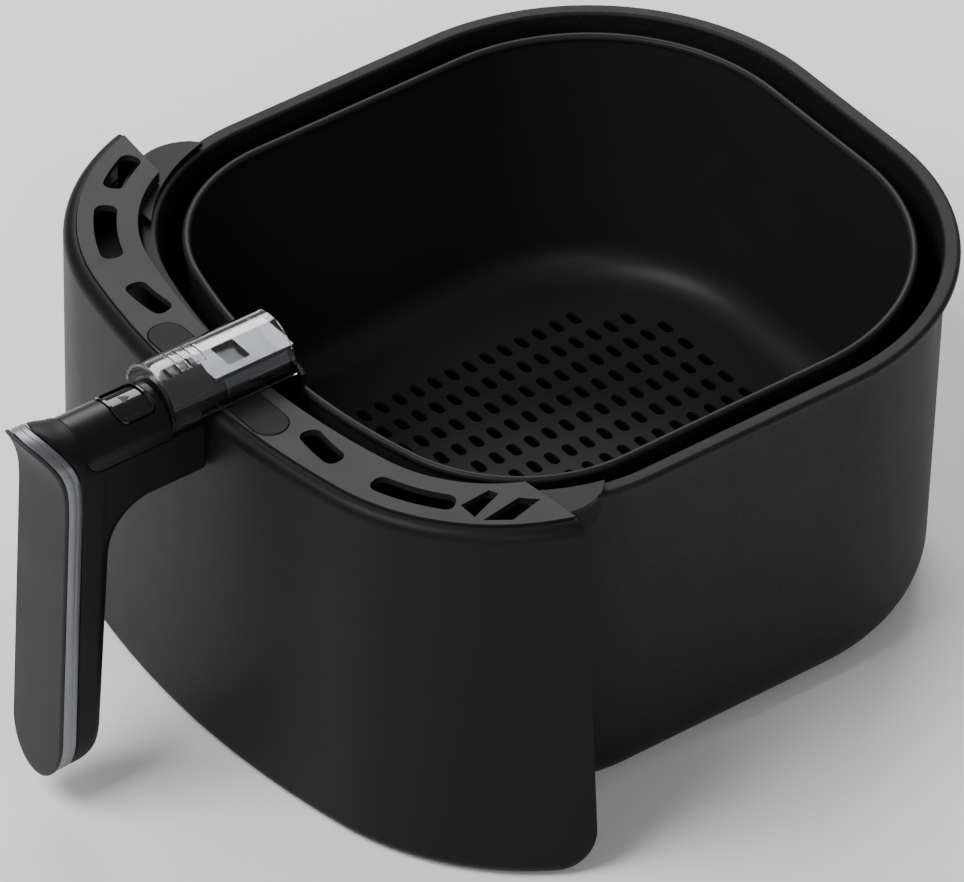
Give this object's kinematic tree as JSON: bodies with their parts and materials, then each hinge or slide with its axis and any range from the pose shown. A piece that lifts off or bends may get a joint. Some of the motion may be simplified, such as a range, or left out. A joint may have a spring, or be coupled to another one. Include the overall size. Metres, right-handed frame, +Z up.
{
  "type": "air fryer drawer",
  "caption": "Pull-out drawer of an air fryer: coated pan with curved front panel and vent deck, lift-out perforated basket, handle with guarded release button",
  "frame": {"origin": "middle of the flat underside of the pan, on the surface that the drawer stands on", "axes": "+X to the right of someone facing the front panel's back, across the drawer; +Y from the handle to the back of the pan; +Z up"},
  "size_m": [0.2862, 0.3556, 0.1638],
  "materials": {
    "pan_coating": "fine speckled dark grey baked coating",
    "nonstick": "glossy near-black nonstick coating",
    "black_abs": "satin black moulding",
    "deck_grey": "satin dark grey moulding",
    "face_grey": "satin dark grey moulding",
    "trim_silver": "satin silver metallised plastic",
    "gloss_black": "polished black moulding",
    "steel": "plain stainless steel",
    "clear": null,
    "core_grey": "plain grey moulding"
  },
  "bodies": {
    "pan": {"pan_shell": "pan_coating", "pan_bracket": "steel", "panel_carrier": "black_abs", "front_panel": "black_abs", "vent_deck": "deck_grey", "handle_seat": "deck_grey", "catch_leaf": "steel", "catch_screw": "steel", "panel_screw_1": "steel", "panel_screw_2": "steel", "panel_screw_3": "steel", "panel_screw_4": "steel"},
    "basket": {"basket_shell": "nonstick", "basket_bracket": "steel", "bracket_rivet_1": "steel", "bracket_rivet_2": "steel", "arm_core": "core_grey", "arm_cover": "black_abs", "handle_body": "black_abs", "grip_trim": "trim_silver", "grip_face": "face_grey", "button_bezel": "gloss_black", "button_spring": "steel", "latch_spring": "steel", "handle_screw_1": "steel", "handle_screw_2": "steel"},
    "button": {"release_button": "gloss_black"},
    "latch": {"latch_slider": "steel"},
    "guard": {"button_guard": "clear"}
  },
  "joints": [
    {"name": "basket_lift", "type": "slide", "parent": "pan", "child": "basket", "axis": [0, 0, 1], "range_m": [0, 0.15], "deforming": ["catch_leaf"]},
    {"name": "button_press", "type": "slide", "parent": "basket", "child": "button", "axis": [0, 0, -1], "range_m": [0, 0.0025], "stiffness_N_per_m": 400, "springref_m": -0.003, "deforming": ["button_spring"]},
    {"name": "latch_slide", "type": "slide", "parent": "basket", "child": "latch", "axis": [0, 1, 0], "range_m": [0, 0.0025], "stiffness_N_per_m": 300, "springref_m": -0.003, "deforming": ["latch_spring"]},
    {"name": "guard_slide", "type": "slide", "parent": "basket", "child": "guard", "axis": [0, -1, 0], "range_m": [0, 0.03]}
  ],
  "couplings": [
    {"joint": "latch_slide", "follows": "button_press", "ratio": 1}
  ]
}
